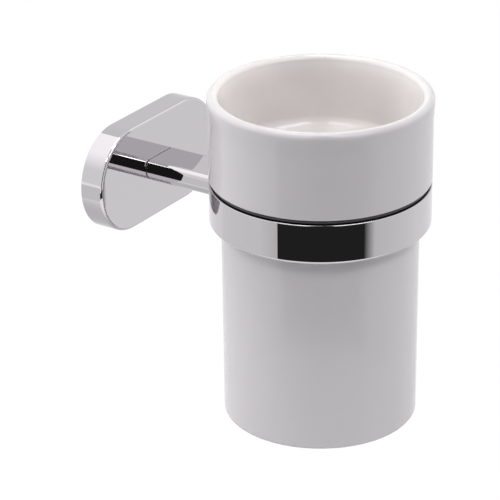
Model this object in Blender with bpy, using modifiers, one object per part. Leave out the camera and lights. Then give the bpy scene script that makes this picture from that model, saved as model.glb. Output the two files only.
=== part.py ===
"""Wall-mounted toothbrush holder: a ceramic tumbler in a chrome ring, on a short arm and a rosette.

Metres, +Z up. The origin is the middle of the wall bracket's back face, in the plane of the wall.
The room lies towards -Y, and +X runs to the right along the wall.
"""

import math

import bmesh
import bpy
from mathutils import Matrix

# Gaps and cuts
TOUCH_GAP = 0.0003
CUT_OVERRUN = 0.001
MERGE_DISTANCE = 0.00001

# Tumbler
TUMBLER_HEIGHT = 0.1075
TUMBLER_WALL = 0.0036
COLLAR_HEIGHT = 0.028
COLLAR_OVERHANG = 0.0001
COLLAR_EDGE_ROUND = 0.0008
RIM_FLARE = 0.0003
RIM_FLARE_HEIGHT = 0.009
NECK_RADIUS = 0.031
NECK_FILLET = 0.0006
FOOT_TAPER = 0.0004
FOOT_ROUND = 0.0015
FOOT_RECESS_RADIUS = 0.025
FOOT_RECESS_DEPTH = 0.001
FLOOR_THICKNESS = 0.004
FLOOR_FILLET = 0.005
INNER_SHOULDER_DEPTH = 0.02
INNER_SHOULDER_HEIGHT = 0.007

# Seat ring: a soft flanged ring between the tumbler's shoulder and the metal ring
SEAT_FLANGE_THICKNESS = 0.0007
SEAT_FLANGE_INSET = 0.0007
SEAT_SLEEVE_WALL = 0.0008
SEAT_SLEEVE_LENGTH = 0.005
NECK_CLEARANCE = 0.0005

# Holder ring
RING_WALL = 0.002
RING_HEIGHT = 0.0131
RING_TOP_ROUND = 0.0004
RING_FOOT_ROUND = 0.0009
RING_BORE_CHAMFER = 0.0003
WALL_TO_AXIS = 0.069

# Arm
ARM_WIDTH = 0.0155
ARM_THICKNESS = 0.0075
ARM_DROP = 0.00015
ARM_TOP_EDGE_ROUND = 0.002
ARM_FOOT_EDGE_ROUND = 0.0038
ARM_END_ROUND = 0.0004
ARM_FILLET = 0.0015
RING_ABOVE_ARM = 0.0044

# Rosette
ROSETTE_LENGTH = 0.0633
ROSETTE_HEIGHT = 0.034
ROSETTE_DEPTH = 0.0081
ROSETTE_WALL = 0.002
ROSETTE_EDGE_ROUND = 0.001
WALL_CLEARANCE = 0.0006
HOOK_RIB_WIDTH = 0.016
GRUB_BOSS_WIDTH = 0.007
GRUB_BOSS_RISE = 0.002

# Wall bracket
BRACKET_THICKNESS = 0.0015
BRACKET_END_MARGIN = 0.003
BRACKET_WING_HEIGHT = 0.016
BRACKET_MIDDLE_WIDTH = 0.022
BRACKET_MIDDLE_HEIGHT = 0.0216
BRACKET_CORNER_ROUND = 0.002
TAB_WIDTH = 0.018
TAB_CLEARANCE = 0.0006
HOOK_FLARE = 0.0022
SLOT_SPACING = 0.034
SLOT_LENGTH = 0.008
SLOT_WIDTH = 0.0046

# Arm screws and their lock washers
SCREW_SPACING = 0.0066
SCREW_RADIUS = 0.0015
SCREW_HEAD_RADIUS = 0.0027
SCREW_HEAD_HEIGHT = 0.0019
SCREW_HEAD_ROUND = 0.0005
SCREW_GRIP = 0.008
SCREW_SOCKET_RADIUS = 0.00115
SCREW_SOCKET_DEPTH = 0.0011
WASHER_RADIUS = 0.0027
WASHER_THICKNESS = 0.0008
WASHER_SPLIT = 0.0006

# Grub screw
GRUB_RADIUS = 0.0015
GRUB_RECESS = 0.0004
GRUB_SOCKET_RADIUS = 0.0009
GRUB_SOCKET_DEPTH = 0.0016
GRUB_POINT = 0.0007

# Facets
TURN_STEPS = 96
SCREW_STEPS = 20
ARC_STEPS = 4
SMALL_ARC_STEPS = 2
SHOULDER_STEPS = 6
ARM_CORNER_STEPS = 6
ARM_END_STEPS = 3
ARM_FILLET_STEPS = 8
ROSETTE_EDGE_STEPS = 3
ROSETTE_END_STEPS = 28
HEX_SIDES = 6
SHARP_ANGLE = math.radians(35)

# Sizes that follow from those above
RING_BORE_RADIUS = NECK_RADIUS + NECK_CLEARANCE + SEAT_SLEEVE_WALL + TOUCH_GAP
RING_RADIUS = RING_BORE_RADIUS + RING_WALL
ARM_TOP = ARM_THICKNESS / 2 - ARM_DROP
ARM_FOOT = ARM_TOP - ARM_THICKNESS
RING_TOP = ARM_TOP + RING_ABOVE_ARM
RING_FOOT = RING_TOP - RING_HEIGHT
SEAT_BASE = RING_TOP + TOUCH_GAP
SHOULDER = SEAT_BASE + SEAT_FLANGE_THICKNESS + TOUCH_GAP
ARM_ROOT = -(ROSETTE_DEPTH + TOUCH_GAP)
INNER_FACE = -(ROSETTE_DEPTH - ROSETTE_WALL)
WASHER_SEAT = INNER_FACE + TOUCH_GAP
SCREW_SEAT = WASHER_SEAT + WASHER_THICKNESS + TOUCH_GAP
TAB_END = INNER_FACE + TAB_CLEARANCE
BRACKET_LENGTH = SLOT_SPACING + SLOT_LENGTH + 2 * BRACKET_END_MARGIN
LOWER_TAB_FACE = -BRACKET_MIDDLE_HEIGHT / 2
HOOK_BEND_Y = TAB_END + HOOK_FLARE
HOOK_BEND_Z = (BRACKET_MIDDLE_HEIGHT - BRACKET_THICKNESS) / 2
GRUB_LINE_Y = (TAB_END - BRACKET_THICKNESS) / 2


def clear_scene():
    for thing in list(bpy.data.objects):
        bpy.data.objects.remove(thing, do_unlink=True)


def make_collection(name):
    collection = bpy.data.collections.new(name)
    bpy.context.scene.collection.children.link(collection)
    return collection


def make_material(name, colour, roughness, metallic):
    material = bpy.data.materials.new(name)
    material.use_nodes = True
    shader = material.node_tree.nodes["Principled BSDF"]
    shader.inputs["Base Color"].default_value = (*colour, 1.0)
    shader.inputs["Roughness"].default_value = roughness
    shader.inputs["Metallic"].default_value = metallic
    return material


def arc(centre_x, centre_z, radius, start_degrees, end_degrees, steps=ARC_STEPS):
    """Points along an arc in a profile, both ends included."""
    points = []
    for i in range(steps + 1):
        angle = math.radians(start_degrees + (end_degrees - start_degrees) * i / steps)
        points.append((centre_x + radius * math.cos(angle), centre_z + radius * math.sin(angle)))
    return points


def ease(share):
    """A smooth step from 0 to 1."""
    return share * share * (3 - 2 * share)


def object_from_bmesh(name, bm, collection, material=None):
    mesh = bpy.data.meshes.new(name)
    bm.to_mesh(mesh)
    bm.free()
    mesh.shade_smooth()
    mesh.set_sharp_from_angle(angle=SHARP_ANGLE)
    thing = bpy.data.objects.new(name, mesh)
    collection.objects.link(thing)
    if material:
        mesh.materials.append(material)
    return thing


def turned(name, profile, steps, collection, material=None, closed=False):
    """A profile turned about its own Z axis. It runs down the outer side, top to bottom."""
    bm = bmesh.new()
    verts = [bm.verts.new((x, 0, z)) for x, z in profile]
    for first, second in zip(verts, verts[1:]):
        bm.edges.new((first, second))
    if closed:
        bm.edges.new((verts[-1], verts[0]))
    thing = object_from_bmesh(name, bm, collection, material)
    screw = thing.modifiers.new("turn", "SCREW")
    screw.axis = "Z"
    screw.steps = steps
    screw.render_steps = steps
    screw.use_merge_vertices = True
    screw.merge_threshold = MERGE_DISTANCE
    screw.use_smooth_shade = True
    return thing


def extruded(name, outline, start, end, collection, material=None):
    """A closed outline of (x, z) points made a solid from start to end along Y."""
    bm = bmesh.new()
    verts = [bm.verts.new((x, start, z)) for x, z in outline]
    face = bm.faces.new(verts)
    grown = bmesh.ops.extrude_face_region(bm, geom=[face])
    moved = [item for item in grown["geom"] if isinstance(item, bmesh.types.BMVert)]
    bmesh.ops.translate(bm, vec=(0, end - start, 0), verts=moved)
    bmesh.ops.recalc_face_normals(bm, faces=bm.faces)
    return object_from_bmesh(name, bm, collection, material)


def box(name, low, high, collection):
    """A box between two corners."""
    size = [b - a for a, b in zip(low, high)]
    middle = [(a + b) / 2 for a, b in zip(low, high)]
    bm = bmesh.new()
    bmesh.ops.create_cube(bm, size=1, matrix=Matrix.Translation(middle) @ Matrix.Diagonal((*size, 1)))
    return object_from_bmesh(name, bm, collection)


def rod(name, radius, start, end, sides, collection, direction="Z"):
    """A straight bar with flat ends about its own axis, from start to end along that axis."""
    turn = Matrix.Rotation(math.radians(90), 4, "X") if direction == "Y" else Matrix.Identity(4)
    bm = bmesh.new()
    bmesh.ops.create_cone(
        bm,
        cap_ends=True,
        segments=sides,
        radius1=radius,
        radius2=radius,
        depth=end - start,
        matrix=turn @ Matrix.Translation((0, 0, (start + end) / 2)),
    )
    return object_from_bmesh(name, bm, collection)


def combine(thing, operand, operation):
    """Joins or cuts with another object, which then serves only as a guide."""
    boolean = thing.modifiers.new(operand.name, "BOOLEAN")
    boolean.operation = operation
    boolean.solver = "EXACT"
    boolean.object = operand
    operand.hide_render = True
    operand.display_type = "WIRE"


def obround(length, height, centre_x=0.0, steps=ROSETTE_END_STEPS):
    """A slot shape with half-round ends, its long axis level."""
    radius = height / 2
    reach = length / 2 - radius
    right = arc(centre_x + reach, 0, radius, -90, 90, steps)
    left = arc(centre_x - reach, 0, radius, 90, 270, steps)
    return right + left


def holder_axis_empty(collection):
    """The upright axis that the ring, the seat ring and the tumbler share."""
    empty = bpy.data.objects.new("holder_axis", None)
    empty.location = (0, -WALL_TO_AXIS, 0)
    collection.objects.link(empty)
    return empty


def tumbler_profile():
    """From the inner floor's middle up the bore, over the rim, down the outside and under the foot."""
    rim = COLLAR_HEIGHT
    foot = COLLAR_HEIGHT - TUMBLER_HEIGHT
    collar_radius = RING_RADIUS + COLLAR_OVERHANG
    rim_radius = collar_radius + RIM_FLARE
    lip = TUMBLER_WALL / 2
    collar_bore = rim_radius - TUMBLER_WALL
    body_bore = NECK_RADIUS - TUMBLER_WALL
    foot_radius = NECK_RADIUS - FOOT_TAPER
    floor = foot + FOOT_RECESS_DEPTH + FLOOR_THICKNESS
    shoulder_top = rim - INNER_SHOULDER_DEPTH
    floor_bore = body_bore - FOOT_TAPER

    profile = [(0, floor)]
    profile += arc(floor_bore - FLOOR_FILLET, floor + FLOOR_FILLET, FLOOR_FILLET, -90, 0)
    for i in range(SHOULDER_STEPS + 1):
        share = i / SHOULDER_STEPS
        radius = body_bore + (collar_bore - body_bore) * ease(share)
        profile.append((radius, shoulder_top - INNER_SHOULDER_HEIGHT * (1 - share)))
    profile += arc(rim_radius - lip, rim - lip, lip, 180, 0, 2 * ARC_STEPS)
    for i in range(1, ARC_STEPS + 1):
        share = i / ARC_STEPS
        radius = rim_radius - RIM_FLARE * ease(share)
        profile.append((radius, rim - lip - (RIM_FLARE_HEIGHT - lip) * share))
    profile += arc(collar_radius - COLLAR_EDGE_ROUND, COLLAR_EDGE_ROUND, COLLAR_EDGE_ROUND, 0, -90)
    profile += arc(NECK_RADIUS + NECK_FILLET, -NECK_FILLET, NECK_FILLET, 90, 180, SMALL_ARC_STEPS)
    profile += arc(foot_radius - FOOT_ROUND, foot + FOOT_ROUND, FOOT_ROUND, 0, -90)
    profile.append((FOOT_RECESS_RADIUS, foot))
    profile.append((FOOT_RECESS_RADIUS - FOOT_RECESS_DEPTH, foot + FOOT_RECESS_DEPTH))
    profile.append((0, foot + FOOT_RECESS_DEPTH))
    return profile


def make_tumbler(parts, axis, material):
    tumbler = turned("tumbler", tumbler_profile(), TURN_STEPS, parts, material)
    tumbler.parent = axis
    tumbler.location = (0, 0, SHOULDER)


def make_seat_ring(parts, axis, material):
    """A flange on top of the metal ring, and a short sleeve down its bore."""
    bore = NECK_RADIUS + NECK_CLEARANCE
    sleeve = bore + SEAT_SLEEVE_WALL
    flange = RING_RADIUS - SEAT_FLANGE_INSET
    chamfer = SEAT_FLANGE_THICKNESS / 2
    profile = [
        (bore + chamfer, SEAT_FLANGE_THICKNESS),
        (flange, SEAT_FLANGE_THICKNESS),
        (flange, 0),
        (sleeve, 0),
        (sleeve, -SEAT_SLEEVE_LENGTH),
        (bore, -SEAT_SLEEVE_LENGTH),
        (bore, SEAT_FLANGE_THICKNESS - chamfer),
    ]
    seat = turned("seat_ring", profile, TURN_STEPS, parts, material, closed=True)
    seat.parent = axis
    seat.location = (0, 0, SEAT_BASE)


def quarter_round(distance, radius):
    """How far a quarter round of this radius still stands off at this distance from its foot."""
    share = min(max(1 - distance / radius, 0), 1)
    return radius - radius * math.sqrt(1 - share * share)


def ring_wall(x):
    """The y of the ring's outer wall on the side of the arm, this far to the side."""
    return math.sqrt(RING_RADIUS * RING_RADIUS - x * x) - WALL_TO_AXIS


def arm_section(y):
    """The arm's outline at this y: (x, z) points, anticlockwise from the right side's upper edge."""
    inset = quarter_round(ARM_ROOT - y, ARM_END_ROUND)
    highest = RING_TOP - RING_TOP_ROUND
    lowest = RING_FOOT + RING_FOOT_ROUND
    outline = []
    for side, level, corner, start in (
        (1, 1, ARM_TOP_EDGE_ROUND, 0),
        (-1, 1, ARM_TOP_EDGE_ROUND, 90),
        (-1, -1, ARM_FOOT_EDGE_ROUND, 180),
        (1, -1, ARM_FOOT_EDGE_ROUND, 270),
    ):
        centre_x = side * (ARM_WIDTH / 2 - corner)
        centre_z = ARM_TOP - corner if level > 0 else ARM_FOOT + corner
        for x, z in arc(0, 0, 1, start, start + 90, ARM_CORNER_STEPS):
            fillet = quarter_round(y - ring_wall(centre_x + corner * x), ARM_FILLET)
            reach = corner - inset + fillet
            height = min(max(centre_z + reach * z, lowest), highest)
            outline.append((centre_x + reach * x, height))
    return outline


def arm_blank(guides):
    """A straight bar from the rosette's face into the ring's wall, with a small fillet at the ring."""
    steps = ARM_FILLET_STEPS
    first = ring_wall(0) + ARM_FILLET
    last = ring_wall(ARM_WIDTH / 2 + ARM_FILLET) - CUT_OVERRUN
    places = [ARM_ROOT + z for _, z in arc(0, -ARM_END_ROUND, ARM_END_ROUND, 90, 0, ARM_END_STEPS)]
    places += [first + (last - first) * i / steps for i in range(steps + 1)]
    bm = bmesh.new()
    loops = [[bm.verts.new((x, y, z)) for x, z in arm_section(y)] for y in places]
    for near, far in zip(loops, loops[1:]):
        for i in range(len(near)):
            j = (i + 1) % len(near)
            bm.faces.new((near[i], near[j], far[j], far[i]))
    bm.faces.new(loops[0])
    bm.faces.new(loops[-1])
    bmesh.ops.recalc_face_normals(bm, faces=bm.faces)
    return object_from_bmesh("arm_blank", bm, guides)


def make_holder_ring(parts, guides, axis, material):
    """The ring and its arm are one casting: a turned disc joined with the arm, then bored."""
    outside = [(0, RING_TOP)]
    outside += arc(
        RING_RADIUS - RING_TOP_ROUND,
        RING_TOP - RING_TOP_ROUND,
        RING_TOP_ROUND,
        90,
        0,
        SMALL_ARC_STEPS,
    )
    outside += arc(RING_RADIUS - RING_FOOT_ROUND, RING_FOOT + RING_FOOT_ROUND, RING_FOOT_ROUND, 0, -90)
    outside.append((0, RING_FOOT))
    ring = turned("holder_ring", outside, TURN_STEPS, parts, material)
    ring.parent = axis
    combine(ring, arm_blank(guides), "UNION")

    mouth = RING_BORE_RADIUS + RING_BORE_CHAMFER + CUT_OVERRUN
    bore = [
        (0, RING_TOP + CUT_OVERRUN),
        (mouth, RING_TOP + CUT_OVERRUN),
        (RING_BORE_RADIUS, RING_TOP - RING_BORE_CHAMFER),
        (RING_BORE_RADIUS, RING_FOOT + RING_BORE_CHAMFER),
        (mouth, RING_FOOT - CUT_OVERRUN),
        (0, RING_FOOT - CUT_OVERRUN),
    ]
    cutter = turned("ring_bore", bore, TURN_STEPS, guides)
    cutter.parent = axis
    combine(ring, cutter, "DIFFERENCE")

    for side, x in (("left", -SCREW_SPACING / 2), ("right", SCREW_SPACING / 2)):
        depth = SCREW_GRIP + CUT_OVERRUN
        hole = rod(
            f"arm_hole_{side}", SCREW_RADIUS + TOUCH_GAP, -CUT_OVERRUN, depth, SCREW_STEPS, guides, "Y"
        )
        hole.location = (x, ARM_ROOT, 0)
        combine(ring, hole, "DIFFERENCE")


def make_rosette(parts, guides, material):
    """An obround cover, open at the wall, with a hook rib, a grub screw boss and the screw holes."""
    outline = obround(ROSETTE_LENGTH, ROSETTE_HEIGHT)
    rosette = extruded("rosette", outline, 0, -ROSETTE_DEPTH, parts, material)
    front = rosette.vertex_groups.new(name="front")
    front.add([v.index for v in rosette.data.vertices if v.co.y < -ROSETTE_DEPTH / 2], 1.0, "REPLACE")
    bevel = rosette.modifiers.new("front_edge", "BEVEL")
    bevel.width = ROSETTE_EDGE_ROUND
    bevel.segments = ROSETTE_EDGE_STEPS
    bevel.limit_method = "VGROUP"
    bevel.vertex_group = front.name
    inner = obround(ROSETTE_LENGTH - 2 * ROSETTE_WALL, ROSETTE_HEIGHT - 2 * ROSETTE_WALL)
    combine(rosette, extruded("rosette_hollow", inner, CUT_OVERRUN, INNER_FACE, guides), "DIFFERENCE")

    half_wall = ROSETTE_WALL / 2
    inner_top = ROSETTE_HEIGHT / 2 - ROSETTE_WALL
    inside_of_bend = HOOK_BEND_Y + (math.sqrt(2) - 1) * BRACKET_THICKNESS / 2
    top_of_tab = HOOK_BEND_Z + BRACKET_THICKNESS / 2
    rib = box(
        "hook_rib",
        (-HOOK_RIB_WIDTH / 2, inside_of_bend + TOUCH_GAP, top_of_tab + TOUCH_GAP),
        (HOOK_RIB_WIDTH / 2, -WALL_CLEARANCE, inner_top + half_wall),
        guides,
    )
    combine(rosette, rib, "UNION")
    boss = box(
        "grub_boss",
        (-GRUB_BOSS_WIDTH / 2, INNER_FACE - half_wall, -inner_top - half_wall),
        (GRUB_BOSS_WIDTH / 2, -WALL_CLEARANCE, -inner_top + GRUB_BOSS_RISE),
        guides,
    )
    combine(rosette, boss, "UNION")

    hole_foot = -ROSETTE_HEIGHT / 2 - CUT_OVERRUN
    hole_top = -inner_top + GRUB_BOSS_RISE + CUT_OVERRUN
    grub_hole = rod("grub_hole", GRUB_RADIUS + TOUCH_GAP, hole_foot, hole_top, SCREW_STEPS, guides)
    grub_hole.location = (0, GRUB_LINE_Y, 0)
    combine(rosette, grub_hole, "DIFFERENCE")
    for side, x in (("left", -SCREW_SPACING / 2), ("right", SCREW_SPACING / 2)):
        hole = rod(
            f"rosette_hole_{side}",
            SCREW_RADIUS + TOUCH_GAP,
            -ROSETTE_WALL - CUT_OVERRUN,
            CUT_OVERRUN + ROSETTE_WALL,
            SCREW_STEPS,
            guides,
            "Y",
        )
        hole.location = (x, INNER_FACE - half_wall, 0)
        combine(rosette, hole, "DIFFERENCE")


def bracket_outline():
    """A plate with a taller middle, its outer corners rounded."""
    wing_x = BRACKET_LENGTH / 2
    wing_z = BRACKET_WING_HEIGHT / 2
    middle_x = BRACKET_MIDDLE_WIDTH / 2
    middle_z = BRACKET_MIDDLE_HEIGHT / 2
    wing_round = BRACKET_CORNER_ROUND
    middle_round = BRACKET_CORNER_ROUND / 2
    quarter = []
    quarter += arc(wing_x - wing_round, wing_z - wing_round, wing_round, 0, 90)
    quarter.append((middle_x, wing_z))
    quarter += arc(middle_x - middle_round, middle_z - middle_round, middle_round, 0, 90)
    outline = list(quarter)
    outline += [(-x, z) for x, z in reversed(quarter)]
    outline += [(-x, -z) for x, z in quarter]
    outline += [(x, -z) for x, z in reversed(quarter)]
    return outline


def make_wall_bracket(parts, guides, material):
    """A slotted plate against the wall, with a lower tab and an upper hooked tab."""
    bracket = extruded("wall_bracket", bracket_outline(), 0, -BRACKET_THICKNESS, parts, material)
    lower_tab = box(
        "lower_tab",
        (-TAB_WIDTH / 2, TAB_END, LOWER_TAB_FACE),
        (TAB_WIDTH / 2, -BRACKET_THICKNESS / 2, LOWER_TAB_FACE + BRACKET_THICKNESS),
        guides,
    )
    combine(bracket, lower_tab, "UNION")

    slope = HOOK_FLARE - BRACKET_THICKNESS / 2 / math.sqrt(2)
    path = [
        (-BRACKET_THICKNESS / 2, HOOK_BEND_Z),
        (HOOK_BEND_Y, HOOK_BEND_Z),
        (HOOK_BEND_Y - slope, HOOK_BEND_Z + slope),
    ]
    bm = bmesh.new()
    left = [bm.verts.new((-TAB_WIDTH / 2, y, z)) for y, z in path]
    edges = [bm.edges.new(pair) for pair in zip(left, left[1:])]
    sheet = bmesh.ops.extrude_edge_only(bm, edges=edges)
    moved = [item for item in sheet["geom"] if isinstance(item, bmesh.types.BMVert)]
    bmesh.ops.translate(bm, vec=(TAB_WIDTH, 0, 0), verts=moved)
    hook = object_from_bmesh("hook_tab", bm, guides)
    shell = hook.modifiers.new("thickness", "SOLIDIFY")
    shell.thickness = BRACKET_THICKNESS
    shell.offset = 0
    shell.use_even_offset = True
    combine(bracket, hook, "UNION")

    for side, x in (("left", -SLOT_SPACING / 2), ("right", SLOT_SPACING / 2)):
        slot = extruded(
            f"slot_{side}",
            obround(SLOT_LENGTH, SLOT_WIDTH, x, SCREW_STEPS // 2),
            CUT_OVERRUN,
            -BRACKET_THICKNESS - CUT_OVERRUN,
            guides,
        )
        combine(bracket, slot, "DIFFERENCE")


def make_arm_screws(parts, guides, material):
    """Two socket screws through the rosette's front wall into the arm, heads towards the wall."""
    length = SCREW_SEAT - ARM_ROOT + SCREW_GRIP
    profile = [(0, SCREW_HEAD_HEIGHT)]
    profile += arc(
        SCREW_HEAD_RADIUS - SCREW_HEAD_ROUND,
        SCREW_HEAD_HEIGHT - SCREW_HEAD_ROUND,
        SCREW_HEAD_ROUND,
        90,
        0,
        SMALL_ARC_STEPS,
    )
    profile += [
        (SCREW_HEAD_RADIUS, 0),
        (SCREW_RADIUS, 0),
        (SCREW_RADIUS, SCREW_HEAD_ROUND - length),
        (SCREW_RADIUS - SCREW_HEAD_ROUND, -length),
        (0, -length),
    ]
    for side, x in (("left", -SCREW_SPACING / 2), ("right", SCREW_SPACING / 2)):
        screw = turned(f"arm_screw_{side}", profile, SCREW_STEPS, parts, material)
        screw.location = (x, SCREW_SEAT, 0)
        screw.rotation_euler = (math.radians(-90), 0, 0)
        socket = rod(
            f"arm_screw_socket_{side}",
            SCREW_SOCKET_RADIUS,
            SCREW_HEAD_HEIGHT - SCREW_SOCKET_DEPTH,
            SCREW_HEAD_HEIGHT + CUT_OVERRUN,
            HEX_SIDES,
            guides,
        )
        socket.location = screw.location
        socket.rotation_euler = screw.rotation_euler
        combine(screw, socket, "DIFFERENCE")


def make_lock_washers(parts, guides, material):
    """A split washer under each arm screw's head."""
    bore = SCREW_RADIUS + TOUCH_GAP
    profile = [
        (WASHER_RADIUS, WASHER_THICKNESS),
        (WASHER_RADIUS, 0),
        (bore, 0),
        (bore, WASHER_THICKNESS),
    ]
    for side, x in (("left", -SCREW_SPACING / 2), ("right", SCREW_SPACING / 2)):
        washer = turned(f"lock_washer_{side}", profile, SCREW_STEPS, parts, material, closed=True)
        washer.location = (x, WASHER_SEAT, 0)
        washer.rotation_euler = (math.radians(-90), 0, 0)
        split = box(
            f"washer_split_{side}",
            (x - WASHER_SPLIT / 2, WASHER_SEAT - CUT_OVERRUN, bore / 2),
            (x + WASHER_SPLIT / 2, WASHER_SEAT + WASHER_THICKNESS + CUT_OVERRUN, WASHER_RADIUS + CUT_OVERRUN),
            guides,
        )
        combine(washer, split, "DIFFERENCE")


def make_grub_screw(parts, guides, material):
    """A socket screw up through the rosette's underside, its cone against the bracket's lower tab."""
    foot = -ROSETTE_HEIGHT / 2 + GRUB_RECESS
    tip = LOWER_TAB_FACE - TOUCH_GAP
    profile = [
        (0, tip),
        (GRUB_RADIUS - GRUB_POINT, tip),
        (GRUB_RADIUS, tip - GRUB_POINT),
        (GRUB_RADIUS, foot),
        (0, foot),
    ]
    grub = turned("grub_screw", profile, SCREW_STEPS, parts, material)
    grub.location = (0, GRUB_LINE_Y, 0)
    socket = rod(
        "grub_socket",
        GRUB_SOCKET_RADIUS,
        foot - CUT_OVERRUN,
        foot + GRUB_SOCKET_DEPTH,
        HEX_SIDES,
        guides,
    )
    socket.location = grub.location
    combine(grub, socket, "DIFFERENCE")


def main():
    clear_scene()
    parts = make_collection("toothbrush_holder")
    guides = make_collection("cutters")
    glaze = make_material("white_glaze", (0.78, 0.77, 0.76), 0.12, 0.0)
    chrome = make_material("polished_chrome", (0.76, 0.76, 0.78), 0.05, 1.0)
    rubber = make_material("dark_rubber", (0.03, 0.03, 0.032), 0.6, 0.0)
    plating = make_material("zinc_plating", (0.55, 0.56, 0.58), 0.38, 1.0)
    steel = make_material("screw_steel", (0.42, 0.42, 0.43), 0.3, 1.0)

    axis = holder_axis_empty(parts)
    make_tumbler(parts, axis, glaze)
    make_seat_ring(parts, axis, rubber)
    bpy.context.view_layer.update()
    make_holder_ring(parts, guides, axis, chrome)
    make_rosette(parts, guides, chrome)
    make_wall_bracket(parts, guides, plating)
    make_arm_screws(parts, guides, steel)
    make_lock_washers(parts, guides, steel)
    make_grub_screw(parts, guides, steel)


main()
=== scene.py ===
"""Looks of a wall-mounted toothbrush holder: a glazed tumbler in a chrome ring, on an arm and a rosette.

Metres, +Z up. The origin is on the wall behind the middle of the rosette, and -Y points into the room.
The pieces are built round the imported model, from its boxes and from the sizes in the panel.
"""

import math

import bmesh
import bpy
from bpy.props import FloatProperty, FloatVectorProperty, IntProperty, PointerProperty
from mathutils import Matrix, Vector


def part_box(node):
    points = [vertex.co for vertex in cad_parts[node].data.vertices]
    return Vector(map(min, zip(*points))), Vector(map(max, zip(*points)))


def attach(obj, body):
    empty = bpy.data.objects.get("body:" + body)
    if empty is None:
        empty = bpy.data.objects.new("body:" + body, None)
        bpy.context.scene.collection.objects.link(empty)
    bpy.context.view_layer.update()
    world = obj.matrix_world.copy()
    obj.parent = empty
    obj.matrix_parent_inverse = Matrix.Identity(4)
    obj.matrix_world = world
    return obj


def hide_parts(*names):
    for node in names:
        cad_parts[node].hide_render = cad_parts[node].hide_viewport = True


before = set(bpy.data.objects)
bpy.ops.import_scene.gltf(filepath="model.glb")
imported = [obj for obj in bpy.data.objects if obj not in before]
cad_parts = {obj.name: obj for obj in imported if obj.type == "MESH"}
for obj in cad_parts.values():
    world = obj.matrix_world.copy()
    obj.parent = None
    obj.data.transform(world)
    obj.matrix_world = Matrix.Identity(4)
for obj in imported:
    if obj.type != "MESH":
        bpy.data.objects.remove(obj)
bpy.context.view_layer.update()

bl_info = {
    "name": "Toothbrush Holder",
    "version": (1, 0, 0),
    "blender": (4, 5, 0),
    "location": "3D View > Sidebar > Toothbrush Holder",
    "description": "Makes a wall-mounted toothbrush holder with a ceramic tumbler, and a plain studio",
    "category": "Add Mesh",
}

# Fixed small values
MERGE_DISTANCE = 0.000001
OVERRUN = 0.001
JOINT_LINE = 0.0001
ROUND_TOLERANCE = 0.00003
LEVEL_TOLERANCE = 0.02
SHARP_ANGLE = math.radians(40)
THREAD_FLAT_SHARE = 0.12
HEX_SIDES = 6
CURVE_STEPS = 16

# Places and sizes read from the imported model
TUMBLER_LOW, TUMBLER_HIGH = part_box("tumbler")
RING_LOW, RING_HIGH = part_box("holder_ring")
SEAT_LOW, SEAT_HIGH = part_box("seat_ring")
ROSETTE_LOW, ROSETTE_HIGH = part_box("rosette")
BRACKET_LOW, BRACKET_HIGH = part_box("wall_bracket")
SCREW_LOW, SCREW_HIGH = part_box("arm_screw_left")
WASHER_LOW, WASHER_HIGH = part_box("lock_washer_left")
GRUB_LOW, GRUB_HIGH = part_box("grub_screw")
AXIS = Vector((0, (TUMBLER_LOW.y + TUMBLER_HIGH.y) / 2, 0))
AT_AXIS = Matrix.Translation(AXIS)
AT_GRUB = Matrix.Translation((0, (GRUB_LOW.y + GRUB_HIGH.y) / 2, 0))
RIM_RADIUS = TUMBLER_HIGH.x
RING_RADIUS = RING_HIGH.x
RING_TOP = RING_HIGH.z
RING_FOOT = RING_LOW.z
ARM_ROOT = ROSETTE_LOW.y - JOINT_LINE

# Sizes and colours that can be changed


def setting(kind, **fixed):
    """One kind of setting: a function of a name, a description and a default."""
    return lambda name, text, default: kind(name=name, description=text, default=default, **fixed)


length = setting(FloatProperty, subtype="DISTANCE", unit="LENGTH", precision=5)
bearing = setting(FloatProperty, subtype="ANGLE", unit="ROTATION")
brightness = setting(FloatProperty, min=0.0)
facets = setting(IntProperty, min=8)
swatch = setting(FloatVectorProperty, subtype="COLOR", size=3, min=0.0, max=1.0)


class TumblerSettings(bpy.types.PropertyGroup):
    """Sizes and glaze of the ceramic tumbler"""

    wall: length("Wall", "Thickness of the wall and lip", 0.0036)
    collar_height: length("Collar height", "From the outer shoulder up to the rim", 0.028)
    collar_radius: length("Collar radius", "At the foot of the collar", 0.0347)
    flare_height: length("Flare height", "Depth below the rim over which it flares", 0.009)
    bore_flare: length("Bore flare", "How much the bore opens towards the lip", 0.0007)
    neck_radius: length("Neck radius", "Outside, just below the shoulder", 0.031)
    taper: length("Taper", "How much the body narrows to its foot", 0.0004)
    edge_round: length("Collar edge", "Rounding at the foot of the collar", 0.0008)
    foot_round: length("Foot edge", "Rounding at the foot", 0.0015)
    foot_ring_radius: length("Foot ring", "Inner radius of the bare ring it stands on", 0.025)
    foot_recess: length("Foot recess", "Depth of the glazed middle of the foot", 0.001)
    floor_thickness: length("Floor", "Thickness of the floor", 0.004)
    floor_fillet: length("Floor fillet", "Between the floor and the bore", 0.005)
    shoulder_depth: length("Shoulder depth", "From the rim down to the inner shoulder", 0.02)
    shoulder_height: length("Shoulder height", "Height of the inner shoulder's curve", 0.007)
    steps: facets("Steps", "Facets round each turned piece", 224)
    glaze: swatch("Glaze", "Glaze on the outside", (0.757, 0.728, 0.756))
    # Painted light: the inside's glaze is made lighter and warmer, standing in for the light that fills the
    # cup
    inner_glaze_painted_light: swatch("Inner glaze", "The thicker glaze inside", (0.968, 0.926, 0.905))
    bare_clay: swatch("Bare clay", "Unglazed foot ring", (0.62, 0.59, 0.54))


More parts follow.
